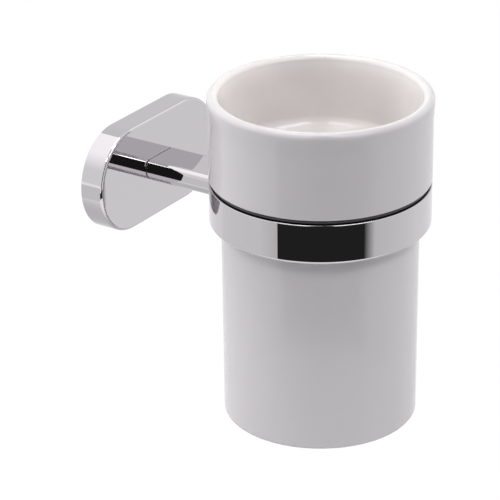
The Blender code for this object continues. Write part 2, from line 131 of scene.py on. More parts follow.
class RingSettings(bpy.types.PropertyGroup):
    """Sizes and finish of the chrome ring and its arm"""

    bore_radius: length("Bore", "Radius of the bore", 0.0326)
    top_round: length("Top edge", "Rounding of the top outer edge", 0.00025)
    foot_round: length("Foot edge", "Rounding of the lower outer edge", 0.0012)
    bore_round: length("Bore edge", "Rounding of the bore's edges", 0.0003)
    arm_width: length("Arm width", "Over both sides", 0.0155)
    arm_thickness: length("Arm thickness", "Foot to top", 0.0075)
    ring_above_arm: length("Ring above arm", "From the arm's top to the ring's", 0.0044)
    arm_top_edge: length("Arm top edges", "Rounding of the arm's upper long edges", 0.002)
    arm_foot_edge: length("Arm lower edges", "Rounding of its lower long edges", 0.0038)
    arm_end: length("Arm end", "Rounding of the arm's end at the rosette", 0.0004)
    fillet: length("Fillet", "Between the arm and the ring", 0.0015)
    chrome: swatch("Chrome", "Colour of the plating", (0.587, 0.566, 0.586))


class RosetteSettings(bpy.types.PropertyGroup):
    """Sizes of the wall rosette"""

    wall: length("Wall", "Thickness of the casting", 0.002)
    front_edge: length("Front edge", "Rounding of the front edge", 0.001)
    back_edge: length("Back edge", "Rounding of the edges at the wall", 0.0002)
    rib_width: length("Rib width", "Width of the hook rib", 0.016)
    boss_width: length("Boss width", "Width of the grub screw's boss", 0.007)
    boss_rise: length("Boss rise", "Height of the boss above the inner wall", 0.002)
    wall_clearance: length("Wall clearance", "From the rib and the boss to the wall", 0.0006)
    end_steps: facets("End steps", "Facets round each end", 72)


class SeatSettings(bpy.types.PropertyGroup):
    """Sizes and colour of the soft seat ring"""

    clearance: length("Clearance", "Round the tumbler's neck", 0.0005)
    flange: length("Flange", "Thickness of the flange", 0.0007)
    sleeve: length("Sleeve", "Thickness of the sleeve", 0.0008)
    edge: length("Edge", "Rounding of the edges", 0.0002)
    rubber: swatch("Rubber", "Colour of the rubber", (0.05, 0.048, 0.051))


class BracketSettings(bpy.types.PropertyGroup):
    """Sizes and finish of the plated wall bracket"""

    thickness: length("Thickness", "Of the sheet", 0.0015)
    wing_height: length("Wing height", "Height of the wings", 0.016)
    middle_width: length("Middle width", "Width of the middle", 0.022)
    middle_height: length("Middle height", "Height over both bends", 0.0216)
    corner_round: length("Corners", "Rounding of the wings' corners", 0.002)
    tab_width: length("Tab width", "Width of both tabs", 0.018)
    relief: length("Relief", "Width of the bend relief beside each tab", 0.0008)
    hook_flare: length("Hook flare", "How far the hooked tab turns up", 0.0022)
    slot_spacing: length("Slot spacing", "Between the slots' middles", 0.034)
    slot_length: length("Slot length", "End to end", 0.008)
    slot_width: length("Slot width", "Across the slot", 0.0046)
    edge: length("Edge", "Softening of the cut edges", 0.00012)
    plating: swatch("Plating", "Colour of the zinc", (0.55, 0.56, 0.57))


class ScrewSettings(bpy.types.PropertyGroup):
    """Sizes and finish of the screws and lock washers"""

    spacing: length("Spacing", "Between the two arm screws", 0.0066)
    radius: length("Radius", "Over the thread", 0.0015)
    pitch: length("Pitch", "Of the thread", 0.0005)
    thread_depth: length("Thread depth", "From crest to root", 0.00028)
    head_height: length("Head height", "Of the arm screws", 0.0019)
    head_round: length("Head edge", "Rounding of the head", 0.0005)
    socket_radius: length("Arm socket", "Corner radius of the arm screws' sockets", 0.00115)
    socket_depth: length("Arm socket depth", "Depth of those sockets", 0.0011)
    grub_socket_radius: length("Grub socket", "Corner radius of the grub screw's socket", 0.0009)
    grub_socket_depth: length("Grub socket depth", "Depth of that socket", 0.0016)
    point: length("Point", "Length of the screws' pointed ends", 0.0006)
    hole_clearance: length("Hole clearance", "Round each screw in its hole", 0.0003)
    washer_split: length("Washer split", "Width of the split in a lock washer", 0.0006)
    steps: facets("Steps", "Facets round a screw", 48)
    steel: swatch("Steel", "Colour of the screws", (0.42, 0.42, 0.43))


class StudioSettings(bpy.types.PropertyGroup):
    """Camera, lamps, cards and floor"""

    aim: FloatVectorProperty(
        name="Aim",
        description="The point in the middle of the picture",
        default=(-0.01275, -0.05106, -0.01512),
        subtype="TRANSLATION",
    )
    distance: length("Distance", "Camera to aim", 0.873)
    azimuth: bearing("Azimuth", "Round from the front", math.radians(-56.274))
    elevation: bearing("Elevation", "Above level", math.radians(24.513))
    roll: bearing("Roll", "Turn about the line of sight", math.radians(-0.536))
    lens: FloatProperty(name="Lens", description="Focal length in millimetres", default=201.1, min=10)
    floor_drop: length("Floor drop", "From the tumbler's foot to the floor", 0.45)
    floor_radius: length("Floor radius", "Of the round floor", 6)
    floor_colour: swatch("Floor", "Colour of the floor", (0.68, 0.675, 0.68))
    # Painted shade below the tumbler and painted glow before it, on the floor as metal mirrors it
    floor_shade: brightness("Floor shade", "In metal, of the floor below the tumbler", 0.7)
    front_floor: brightness("Front floor", "In metal, of the floor before the tumbler", 1.3)
    fill: brightness("Fill", "Of the world's light on matt surfaces", 0.235)
    dark_card: brightness("Dark cards", "In metal, of the cards before the tumbler", 0.022)
    near_cards: length("Near cards", "From the tumbler's axis to the cards at its height", 0.42)
    far_cards: length("Far cards", "From that axis to the cards above", 0.8)
    lamp_distance: length("Lamps", "From that axis to the lamps", 1.0)


# Nodes


class Wire:
    """A node's output. Sums on wires read as plain arithmetic, and each adds its Math node."""

    def __init__(self, tree, socket):
        self.tree = tree
        self.socket = socket

    def __add__(self, other):
        return self.tree.maths("ADD", self, other)

    def __sub__(self, other):
        return self.tree.maths("SUBTRACT", self, other)

    def __rsub__(self, other):
        return self.tree.maths("SUBTRACT", other, self)

    def __mul__(self, other):
        return self.tree.maths("MULTIPLY", self, other)

    def __truediv__(self, other):
        return self.tree.maths("DIVIDE", self, other)

    __radd__ = __add__
    __rmul__ = __mul__

    def greater(self, other):
        return self.tree.maths("MAXIMUM", self, other)

    def rising(self, low, high):
        """A mask that runs smoothly from 0 at low to 1 at high."""
        return self.tree.add(
            "ShaderNodeMapRange", {0: self, 1: low, 2: high}, interpolation_type="SMOOTHSTEP"
        )

    def output(self, name):
        """Another output of the same node."""
        return Wire(self.tree, self.socket.node.outputs[name])


class Tree:
    """Adds nodes to one node tree."""

    def __init__(self, node_tree):
        self.nodes = node_tree.nodes
        self.links = node_tree.links

    def add(self, kind, inputs=None, output=0, **settings):
        """A node: its settings first, then a value or a wire for each socket. Returns one output."""
        node = self.nodes.new(kind)
        for name, value in settings.items():
            setattr(node, name, value)
        for key, value in (inputs or {}).items():
            self.feed(node, key, value)
        return Wire(self, node.outputs[output]) if node.outputs else node

    def feed(self, node, key, value):
        if isinstance(value, Wire):
            self.links.new(value.socket, node.inputs[key])
        else:
            node.inputs[key].default_value = value

    def maths(self, operation, *values):
        return self.add("ShaderNodeMath", dict(enumerate(values)), operation=operation)

    def place(self):
        """The object's own coordinates."""
        return self.add("ShaderNodeTexCoord", output="Object")

    def noise(self, scale, detail, stretch=None):
        """Noise over the object's own coordinates, which can be scaled unlike along each axis."""
        place = self.place()
        if stretch:
            place = self.add("ShaderNodeVectorMath", {0: place, 1: stretch}, "Vector", operation="MULTIPLY")
        return self.add("ShaderNodeTexNoise", {"Vector": place, "Scale": scale, "Detail": detail}, "Fac")

    def mix(self, factor, first, second):
        """A colour between two others."""
        return self.add("ShaderNodeMix", {0: factor, 6: first, 7: second}, 2, data_type="RGBA")

    def bump(self, height, distance, **below):
        """Normals raised by a height, on top of another bump if it is given as Normal."""
        inputs = {"Height": height, "Distance": distance, "Strength": 1.0, **below}
        return self.add("ShaderNodeBump", inputs, "Normal")


# Materials


def finish(make, settings, name=None):
    """A material from what a function gives for each socket of its shader: a value or a wire. Made once."""
    name = f"{name or make.__name__}_finish"
    material = bpy.data.materials.get(name)
    if not material:
        material = bpy.data.materials.new(name)
        material.use_nodes = True
        tree = Tree(material.node_tree)
        for socket, value in make(tree, settings).items():
            tree.feed(tree.nodes["Principled BSDF"], socket, value)
    return material


def opaque(colour, share=1.0):
    """A colour with its alpha, made darker or lighter by a share."""
    return (*(value * share for value in colour), 1.0)


def from_axis(tree):
    """Where a point lies from the tumbler's axis: X, Y, height, and its distance from the axis."""
    x = tree.add("ShaderNodeSeparateXYZ", {0: tree.place()}, "X")
    y = x.output("Y") - AXIS.y
    return x, y, x.output("Z"), tree.maths("SQRT", x * x + y * y)


def white_glaze(tree, s):
    """White glaze with painted light inside (a lighter, warmer glaze), faintly uneven, bare clay on the
    foot ring.
    """
    _, _, height, radius = from_axis(tree)
    cloud = tree.noise(26.0, 3.0)
    peel = tree.noise(210.0, 1.0)
    grain = tree.noise(2400.0, 2.0)

    foot = TUMBLER_LOW.z
    shoulder = TUMBLER_HIGH.z - s.collar_height
    collar_middle = RIM_RADIUS - s.wall / 2
    body_middle = s.neck_radius - s.wall / 2
    wide = height.rising(shoulder, shoulder + s.shoulder_height)
    middle = body_middle + wide * (collar_middle - body_middle)
    # Mask of the inside, where painted light makes the glaze lighter and warmer
    inside = (middle - radius).rising(-s.wall / 4, s.wall / 4)
    above_floor = height.rising(foot + s.foot_recess, foot + s.floor_thickness)
    low = 1 - height.rising(foot + s.foot_recess * 0.35, foot + s.foot_recess * 0.6)
    clay = low * radius.rising(s.foot_ring_radius - s.foot_recess * 0.4, s.foot_ring_radius)

    # Painted light: a lighter, warmer copy of the glaze inside the cup, in place of more light there
    glaze = tree.mix(inside * above_floor, opaque(s.glaze), opaque(s.inner_glaze_painted_light))
    pooled = tree.mix(cloud.rising(0.35, 0.75) * 0.5, glaze, opaque(s.glaze, 0.965))
    bare = tree.mix(grain, opaque(s.bare_clay), opaque(s.bare_clay, 0.86))
    rippled = tree.bump(peel, 0.000012)
    return {
        "Base Color": tree.mix(clay, pooled, bare),
        "Roughness": 0.07 + cloud * 0.05 + peel * 0.02 + clay * 0.55,
        "Normal": tree.bump(grain * clay, 0.00004, Normal=rippled),
    }


def polished_chrome(tree, s):
    """Polished plating over a hand-buffed casting: faint waves and wiping marks."""
    wave = tree.noise(48.0, 1.0)
    wiped = tree.noise(1.0, 4.0, (900.0, 260.0, 420.0))
    return {
        "Metallic": 1.0,
        "Base Color": opaque(s.chrome),
        "Roughness": 0.012 + wiped.rising(0.45, 0.8) * 0.02,
        "Normal": tree.bump(wave, 0.00003),
    }


def cast_back(tree, s):
    """The same plating where the casting was never polished."""
    skin = tree.noise(1500.0, 5.0)
    return {
        "Metallic": 1.0,
        "Base Color": tree.mix(skin, opaque(s.chrome), opaque(s.chrome, 0.82)),
        "Roughness": 0.30 + skin * 0.22,
        "Normal": tree.bump(skin, 0.00006),
    }


def dark_rubber(tree, s):
    """Moulded rubber with a soft sheen and a fine grain."""
    grain = tree.noise(3200.0, 3.0)
    worn = tree.noise(180.0, 2.0)
    return {
        "Base Color": tree.mix(worn, opaque(s.rubber), opaque(s.rubber, 1.5)),
        "Roughness": 0.42 + grain * 0.2,
        "Normal": tree.bump(grain, 0.00001),
    }


def zinc_plating(tree, s):
    """Dull zinc on rolled sheet: grain along the strip, and cloudy patches."""
    rolled = tree.noise(1.0, 4.0, (90.0, 1500.0, 2600.0))
    cloud = tree.noise(120.0, 4.0)
    bluish = [value * share for value, share in zip(s.plating, (0.86, 0.9, 0.98))]
    return {
        "Metallic": 1.0,
        "Base Color": tree.mix(cloud.rising(0.35, 0.7), opaque(s.plating), opaque(bluish)),
        "Roughness": 0.26 + rolled * 0.16 + cloud * 0.1,
        "Normal": tree.bump(rolled, 0.000012),
    }


def screw_steel(tree, s):
    """Plain steel with turning marks and a trace of oil."""
    fine = tree.noise(5200.0, 2.0)
    stain = tree.noise(700.0, 3.0)
    return {
        "Metallic": 1.0,
        "Base Color": tree.mix(stain.rising(0.4, 0.7), opaque(s.steel), opaque(s.steel, 0.72)),
        "Roughness": 0.24 + fine * 0.16,
        "Normal": tree.bump(fine, 0.000006),
    }


# Outlines


def spread(start, end, steps):
    """Evenly spaced values, both ends included."""
    return [start + (end - start) * i / steps for i in range(steps + 1)]


def arc(centre_x, centre_z, radius, start_degrees, end_degrees, steps=8):
    """Points along an arc, both ends included."""
    angles = [math.radians(degrees) for degrees in spread(start_degrees, end_degrees, steps)]
    return [(centre_x + radius * math.cos(angle), centre_z + radius * math.sin(angle)) for angle in angles]


def filleted(corners, closed=False, steps=5):
    """Turns (x, z, radius) corners into an outline with its corners rounded."""
    points = []
    count = len(corners)
    for i, (x, z, radius) in enumerate(corners):
        at_end = not closed and i in (0, count - 1)
        if at_end or not radius:
            points.append((x, z))
            continue
        here = Vector((x, z))
        back = (Vector(corners[i - 1][:2]) - here).normalized()
        ahead = (Vector(corners[(i + 1) % count][:2]) - here).normalized()
        half = back.angle(ahead) / 2
        centre = here + (back + ahead).normalized() * radius / math.sin(half)
        start = (here + back * radius / math.tan(half) - centre).normalized()
        end = (here + ahead * radius / math.tan(half) - centre).normalized()
        points += [tuple(centre + start.slerp(end, share) * radius) for share in spread(0, 1, steps)]
    return points


def ease(share):
    """A smooth step from 0 to 1."""
    return share * share * (3 - 2 * share)


def obround(radius, reach, steps, centre_x=0.0):
    """A slot shape with half-round ends, their middles at the reach to each side."""
    right = arc(centre_x + reach, 0, radius, -90, 90, steps)
    left = arc(centre_x - reach, 0, radius, 90, 270, steps)
    return right + left


# Meshes


def crease(mesh):
    """Shades the mesh smooth between its sharp edges."""
    mesh.shade_smooth()
    mesh.set_sharp_from_angle(angle=SHARP_ANGLE)


def mesh_object(name, bm, material=None):
    mesh = bpy.data.meshes.new(name)
    bm.to_mesh(mesh)
    bm.free()
    crease(mesh)
    thing = bpy.data.objects.new(name, mesh)
    bpy.context.scene.collection.objects.link(thing)
    if material:
        mesh.materials.append(material)
    return thing


def skinned(rows, closed):
    """Faces between rows of equally many points, and the rows as vertices."""
    bm = bmesh.new()
    rings = [[bm.verts.new(point) for point in row] for row in rows]
    for near, far in zip(rings, rings[1:]):
        for i in range(len(near) if closed else len(near) - 1):
            j = (i + 1) % len(near)
            bm.faces.new((near[i], near[j], far[j], far[i]))
    return bm, rings


def closed_solid(name, loops, material=None):
    """Skins a row of equal loops of points, and caps both ends."""
    bm, rings = skinned(loops, True)
    bm.faces.new(rings[0])
    bm.faces.new(rings[-1])
    bmesh.ops.recalc_face_normals(bm, faces=bm.faces)
    return mesh_object(name, bm, material)


def prism(name, outline, start, end, material=None):
    """A closed outline of (x, z) points made a solid from start to end along Y."""
    return closed_solid(name, [[(x, y, z) for x, z in outline] for y in (start, end)], material)


def block(name, low, high, material):
    """A box between two corners."""
    outline = [(low[0], low[2]), (high[0], low[2]), (high[0], high[2]), (low[0], high[2])]
    return prism(name, outline, low[1], high[1], material)


def rod(name, radius, start, end, sides, place):
    """A straight bar along its own Z axis, then put in its place."""
    bm = bmesh.new()
    middle = Matrix.Translation((0, 0, (start + end) / 2))
    sizes = {"radius1": radius, "radius2": radius, "depth": end - start}
    bmesh.ops.create_cone(bm, cap_ends=True, segments=sides, matrix=place @ middle, **sizes)
    return mesh_object(name, bm)


def turned_over(x, y, degrees):
    """Lays a piece's own Z axis over, about X, at this place on the arm's middle line."""
    return Matrix.Translation((x, y, 0)) @ Matrix.Rotation(math.radians(degrees), 4, "X")


def combine(thing, tool, operation="DIFFERENCE"):
    """Cuts or joins with another object, which is used up by it when the thing is made plain."""
    boolean = thing.modifiers.new(tool.name, "BOOLEAN")
    boolean.operation = operation
    boolean.solver = "EXACT"
    boolean.object = tool


def applied(thing):
    """Makes the evaluated shape the object's own mesh, and drops modifiers and tools."""
    tools = [modifier.object for modifier in thing.modifiers if modifier.type == "BOOLEAN"]
    mesh = bpy.data.meshes.new_from_object(thing.evaluated_get(bpy.context.evaluated_depsgraph_get()))
    thing.modifiers.clear()
    thing.data = mesh
    for tool in tools:
        bpy.data.objects.remove(tool)
    return mesh


def plain(thing, place=None):
    """Applies what is on the object, puts it in its place and marks its sharp edges anew."""
    mesh = applied(thing)
    if place:
        mesh.transform(place)
    crease(mesh)


def weighted(thing):
    """Gives the flats their own normals, so that only the rounded edges bend a reflection."""
    modifier = thing.modifiers.new("weighted_normals", "WEIGHTED_NORMAL")
    modifier.mode = "FACE_AREA"
    modifier.keep_sharp = True
    applied(thing)


def turned_tree():
    """Geometry nodes that turn a profile about Z, with a screw thread where the profile says so."""
    group = bpy.data.node_groups.get("turned_piece")
    if group:
        return group
    group = bpy.data.node_groups.new("turned_piece", "GeometryNodeTree")
    for name, kind in (
        ("Profile", "Geometry"),
        ("Steps", "Int"),
        ("Thread Pitch", "Float"),
        ("Thread Depth", "Float"),
        ("Material", "Material"),
    ):
        group.interface.new_socket(name=name, in_out="INPUT", socket_type=f"NodeSocket{kind}")
    group.interface.new_socket(name="Geometry", in_out="OUTPUT", socket_type="NodeSocketGeometry")

    tree = Tree(group)
    given = tree.add("NodeGroupInput", output="Profile")
    steps = given.output("Steps")
    count = tree.add("GeometryNodeAttributeDomainSize", {0: given}, "Point Count")
    grid = tree.add("GeometryNodeMeshGrid", {"Vertices X": count, "Vertices Y": steps + 1}, "Mesh")
    index = tree.add("GeometryNodeInputIndex")
    row = tree.maths("FLOOR", (index + 0.5) / (steps + 1))
    turn = (index - row * (steps + 1)) / steps
    where = tree.add("GeometryNodeInputPosition")
    on_profile = tree.add("GeometryNodeSampleIndex", {0: given, 1: where, 2: row}, data_type="FLOAT_VECTOR")
    marked = tree.add("GeometryNodeInputNamedAttribute", {"Name": "thread"}, data_type="FLOAT")
    threaded = tree.add("GeometryNodeSampleIndex", {0: given, 1: marked, 2: row}, data_type="FLOAT")
    radius = tree.add("ShaderNodeSeparateXYZ", {0: on_profile}, "X")
    height = radius.output("Z")
    phase = tree.maths("FRACT", height / given.output("Thread Pitch") - turn)
    flank = tree.maths("ABSOLUTE", phase * 2 - 1) * (1 + 2 * THREAD_FLAT_SHARE) - THREAD_FLAT_SHARE
    bent = radius - threaded * flank.rising(0, 1) * given.output("Thread Depth")
    angle = turn * math.tau
    round_x = bent * tree.maths("COSINE", angle)
    round_y = bent * tree.maths("SINE", angle)
    moved = tree.add("ShaderNodeCombineXYZ", {"X": round_x, "Y": round_y, "Z": height})
    shaped = tree.add("GeometryNodeSetPosition", {"Geometry": grid, "Position": moved})
    closed = tree.add("GeometryNodeMergeByDistance", {"Geometry": shaped, "Distance": MERGE_DISTANCE})
    real = tree.add("GeometryNodeRealizeInstances", {"Geometry": closed})
    coated = {"Geometry": real, "Material": given.output("Material")}
    tree.add("NodeGroupOutput", {"Geometry": tree.add("GeometryNodeSetMaterial", coated)})
    return group


def turned(name, profile, steps, material, place, closed=False, threads=None, pitch=0.001, depth=0.0):
    """A profile of (radius, height) points turned about its own axis, then put in its place."""
    bm = bmesh.new()
    loop = profile + profile[:1] if closed else profile
    verts = [bm.verts.new((x, 0, z)) for x, z in loop]
    for first, second in zip(verts, verts[1:]):
        bm.edges.new((first, second))
    thing = mesh_object(name, bm)
    marks = thing.data.attributes.new("thread", "FLOAT", "POINT")
    marks.data.foreach_set("value", threads or [0.0] * len(loop))
    nodes = thing.modifiers.new("turned", "NODES")
    nodes.node_group = turned_tree()
    values = {"Steps": steps, "Thread Pitch": pitch, "Thread Depth": depth, "Material": material}
    for item in nodes.node_group.interface.items_tree:
        if item.in_out == "INPUT" and item.name in values:
            nodes[item.identifier] = values[item.name]
    plain(thing, place)
    thing.data.materials.pop(index=0)
    bm = bmesh.new()
    bm.from_mesh(thing.data)
    bmesh.ops.recalc_face_normals(bm, faces=bm.faces)
    bm.to_mesh(thing.data)
    bm.free()
    return thing


def stand_for(piece, body, node):
    """The piece rides on a body and takes a node's place."""
    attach(piece, body)
    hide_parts(node)


# Tumbler


def tumbler_profile(s):
    """From the inner floor's middle up the bore, over the rim, down the outside and under the foot."""
    rim = TUMBLER_HIGH.z
    foot = TUMBLER_LOW.z
    lip = s.wall / 2
    flare = RIM_RADIUS - s.collar_radius
    below_lip = s.flare_height - lip
    collar_bore = RIM_RADIUS - s.wall - s.bore_flare
    body_bore = s.neck_radius - s.wall - s.bore_flare
    floor = foot + s.foot_recess + s.floor_thickness
    floor_bore = body_bore - s.taper
    shoulder_top = rim - s.shoulder_depth
    neck = rim - s.collar_height
    foot_radius = s.neck_radius - s.taper
    fillet = s.edge_round * 3 / 4
    shares = spread(0, 1, CURVE_STEPS)

    profile = [(0, floor)]
    profile += arc(floor_bore - s.floor_fillet, floor + s.floor_fillet, s.floor_fillet, -90, 0, 12)
    for share in shares:
        radius = body_bore + (collar_bore - body_bore) * ease(share)
        profile.append((radius, shoulder_top - s.shoulder_height * (1 - share)))
    for share in shares[1:-1]:
        profile.append((collar_bore + s.bore_flare * share**3, rim - lip - below_lip * (1 - share)))
    profile += arc(RIM_RADIUS - lip, rim - lip, lip, 180, 0, 24)
    for share in shares[1:]:
        profile.append((RIM_RADIUS - flare * ease(share), rim - lip - below_lip * share))
    profile += arc(s.collar_radius - s.edge_round, neck + s.edge_round, s.edge_round, 0, -90, 8)
    profile += arc(s.neck_radius + fillet, neck - fillet, fillet, 90, 180, 6)
    profile += arc(foot_radius - s.foot_round, foot + s.foot_round, s.foot_round, 0, -90, 10)
    underside = [
        (foot_radius - s.foot_round, foot, 0),
        (s.foot_ring_radius, foot, s.foot_recess / 3),
        (s.foot_ring_radius - s.foot_recess, foot + s.foot_recess, s.foot_recess / 2),
        (0, foot + s.foot_recess, 0),
    ]
    return profile + filleted(underside)[1:]


class HOLDER_OT_tumbler(bpy.types.Operator):
    """Make the glazed ceramic tumbler"""

    bl_idname = "holder.tumbler"
    bl_label = "Tumbler"

    def execute(self, context):
        s = context.scene.tumbler_settings
        cup = turned("glazed_tumbler", tumbler_profile(s), s.steps, finish(white_glaze, s), AT_AXIS)
        weighted(cup)
        stand_for(cup, "cup", "tumbler")
        return {"FINISHED"}


# Seat ring


def seat_profile(s, bore):
    """The seat's section: a sleeve in the ring's bore, and a flange on its top."""
    flange_radius = SEAT_HIGH.x
    sleeve = bore + s.sleeve
    under = SEAT_HIGH.z - s.flange
    corners = [
        (bore, SEAT_HIGH.z, s.flange / 2),
        (flange_radius, SEAT_HIGH.z, s.edge),
        (flange_radius, under, s.edge),
        (sleeve, under, 0),
        (sleeve, SEAT_LOW.z, s.edge),
        (bore, SEAT_LOW.z, s.edge),
    ]
    return filleted(corners, True)


class HOLDER_OT_seat_ring(bpy.types.Operator):
    """Make the soft ring between the tumbler's shoulder and the chrome ring"""

    bl_idname = "holder.seat_ring"
    bl_label = "Seat ring"

    def execute(self, context):
        s = context.scene.seat_settings
        tumbler = context.scene.tumbler_settings
        profile = seat_profile(s, tumbler.neck_radius + s.clearance)
        seat = turned("rubber_seat", profile, tumbler.steps, finish(dark_rubber, s), AT_AXIS, closed=True)
        weighted(seat)
        stand_for(seat, "seat", "seat_ring")
        return {"FINISHED"}


# Ring and arm


def quarter_round(distance, radius):
    """How far a quarter round of this radius still stands off at this distance from its foot."""
    share = min(max(1 - distance / radius, 0), 1)
    return radius - radius * math.sqrt(1 - share * share)


def ring_wall(x):
    """The y of the ring's outer wall behind it, this far to the side."""
    return AXIS.y + math.sqrt(RING_RADIUS * RING_RADIUS - x * x)


def arm_section(s, y):
    """The arm's outline at this y: round sides, drawn in at the rosette and filleted onto the ring."""
    inset = quarter_round(ARM_ROOT - y, s.arm_end)
    top = RING_TOP - s.ring_above_arm
    foot = top - s.arm_thickness
    outline = []
    for side, level, corner, start in (
        (1, 1, s.arm_top_edge, 0),
        (-1, 1, s.arm_top_edge, 90),
        (-1, -1, s.arm_foot_edge, 180),
        (1, -1, s.arm_foot_edge, 270),
    ):
        centre_x = side * (s.arm_width / 2 - corner)
        centre_z = top - corner if level > 0 else foot + corner
        for x, z in arc(0, 0, 1, start, start + 90, 14):
            reach = corner - inset + quarter_round(y - ring_wall(centre_x + corner * x), s.fillet)
            height = min(max(centre_z + reach * z, RING_FOOT + s.foot_round), RING_TOP - s.top_round)
            outline.append((centre_x + reach * x, y, height))
    return outline


def arm_stations(s):
    """Where the sections stand: close together at the rounded end and at the fillet."""
    steps = 20
    last = ring_wall(s.arm_width / 2 + s.fillet) - s.fillet / 4
    first = ring_wall(0) + s.fillet
    root = [ARM_ROOT - s.arm_end * (1 - math.cos(math.radians(turn))) for turn in spread(0, 90, steps)]
    return root + spread(first, last, steps)


def ring_profile(s):
    """The ring's section: outer wall, foot, bore and top, with every edge rounded."""
    corners = [
        (RING_RADIUS, RING_TOP, s.top_round),
        (RING_RADIUS, RING_FOOT, s.foot_round),
        (s.bore_radius, RING_FOOT, s.bore_round),
        (s.bore_radius, RING_TOP, s.bore_round),
    ]
    return filleted(corners, True, 7)


def drill_arm_holes(thing, screws, y, start, end):
    """Cuts the two arm screws' holes, from start to end counted from y into the room."""
    for x in (-screws.spacing / 2, screws.spacing / 2):
        radius = screws.radius + screws.hole_clearance
        combine(thing, rod("arm_hole", radius, start, end, screws.steps, turned_over(x, y, 90)))


def steady_wall_normals(piece):
    """Points the normals of the ring's outer wall straight out, so that the arm's join can't bend them."""
    mesh = piece.data
    normals = [Vector(n.vector) for n in mesh.corner_normals]
    for face in mesh.polygons:
        out = face.center - AXIS
        out.z = 0
        if abs(out.length - RING_RADIUS) > ROUND_TOLERANCE or abs(face.normal.z) > LEVEL_TOLERANCE:
            continue
        for corner in face.loop_indices:
            spoke = mesh.vertices[mesh.loops[corner].vertex_index].co - AXIS
            spoke.z = 0
            normals[corner] = spoke.normalized()
    mesh.normals_split_custom_set(normals)


class HOLDER_OT_ring_and_arm(bpy.types.Operator):
    """Make the chrome ring and its arm, which are one casting"""

    bl_idname = "holder.ring_and_arm"
    bl_label = "Ring and arm"

    def execute(self, context):
        s = context.scene.ring_settings
        chrome = finish(polished_chrome, s)
        steps = context.scene.tumbler_settings.steps
        ring = turned("chrome_ring_and_arm", ring_profile(s), steps, chrome, AT_AXIS, closed=True)
        arm = closed_solid("arm_blank", [arm_section(s, y) for y in arm_stations(s)], chrome)
        depth = ARM_ROOT - SCREW_LOW.y + OVERRUN
        drill_arm_holes(arm, context.scene.screw_settings, ARM_ROOT, -OVERRUN, depth)
        plain(arm)
        combine(ring, arm, "UNION")
        plain(ring)
        weighted(ring)
        steady_wall_normals(ring)
        stand_for(ring, "holder", "holder_ring")
        return {"FINISHED"}


# Rosette


def rosette_shell(s, polished, cast):
    """An obround cover, open at the wall: outer wall, front face, back rim and inner walls."""
    radius = ROSETTE_HIGH.z
    reach = ROSETTE_HIGH.x - radius
    front = ROSETTE_LOW.y
    inner_face = front + s.wall
    corners = [
        (0, inner_face, 0),
        (s.wall, inner_face, 0),
        (s.wall, 0, s.back_edge),
        (0, 0, s.back_edge),
        (0, front, s.front_edge),
        (reach, front, 0),
    ]
    loops = []
    for inset, y in filleted(corners)[1:-1]:
        loops.append([(x, y, z) for x, z in obround(radius - inset, reach, s.end_steps)])
    shell = closed_solid("chrome_rosette", loops, polished)
    shell.data.materials.append(cast)
    for face in shell.data.polygons:
        x, y, z = face.center
        inset = radius - math.hypot(max(abs(x) - reach, 0), z)
        within = inset > s.wall - s.back_edge / 2
        flat_rim = inset > s.back_edge and abs(face.normal.y) >= 0.5
        if y > inner_face - MERGE_DISTANCE and (within or flat_rim):
            face.material_index = 1
    return shell


class HOLDER_OT_rosette(bpy.types.Operator):
    """Make the chrome rosette that covers the wall bracket"""

    bl_idname = "holder.rosette"
    bl_label = "Rosette"

    def execute(self, context):
        s = context.scene.rosette_settings
        ring = context.scene.ring_settings
        bracket = context.scene.bracket_settings
        screws = context.scene.screw_settings
        cast = finish(cast_back, ring)
        shell = rosette_shell(s, finish(polished_chrome, ring), cast)
        inner_face = ROSETTE_LOW.y + s.wall
        inner_top = ROSETTE_HIGH.z - s.wall
        into_wall = s.wall / 2
        bend_y = BRACKET_LOW.y + bracket.hook_flare
        behind_hook = bend_y + (math.sqrt(2) - 1) * bracket.thickness / 2 + screws.hole_clearance
        rib_foot = bracket.middle_height / 2 + screws.hole_clearance
        boss_top = -inner_top + s.boss_rise
        rib_low = (-s.rib_width / 2, behind_hook, rib_foot)
        rib_high = (s.rib_width / 2, -s.wall_clearance, inner_top + into_wall)
        boss_low = (-s.boss_width / 2, inner_face - into_wall, -inner_top - into_wall)
        boss_high = (s.boss_width / 2, -s.wall_clearance, boss_top)
        combine(shell, block("hook_rib", rib_low, rib_high, cast), "UNION")
        combine(shell, block("grub_boss", boss_low, boss_high, cast), "UNION")
        hole = (screws.radius + screws.hole_clearance, ROSETTE_LOW.z - OVERRUN, boss_top + OVERRUN)
        combine(shell, rod("grub_hole", *hole, screws.steps, AT_GRUB))
        drill_arm_holes(shell, screws, ROSETTE_LOW.y, -s.wall - OVERRUN, OVERRUN)
        plain(shell)
        weighted(shell)
        stand_for(shell, "holder", "rosette")
        return {"FINISHED"}


# Wall bracket


def plate_outline(s):
    """Wings and a taller middle, cut back with a relief on each side of both tabs."""
    wing_z = s.wing_height / 2
    middle_x = s.middle_width / 2
    middle_z = s.middle_height / 2
    relief_x = s.tab_width / 2 + s.relief
    relief_z = middle_z - 2 * s.thickness
    small = s.relief / 4
    quarter = [
        (BRACKET_HIGH.x, wing_z, s.corner_round),
        (middle_x, wing_z, 0),
        (middle_x, middle_z, s.corner_round / 4),
        (relief_x, middle_z, small),
        (relief_x, relief_z, small),
    ]
    upper = quarter + [(-x, z, r) for x, z, r in quarter[::-1]]
    return filleted(upper + [(-x, -z, r) for x, z, r in upper], True, 4)


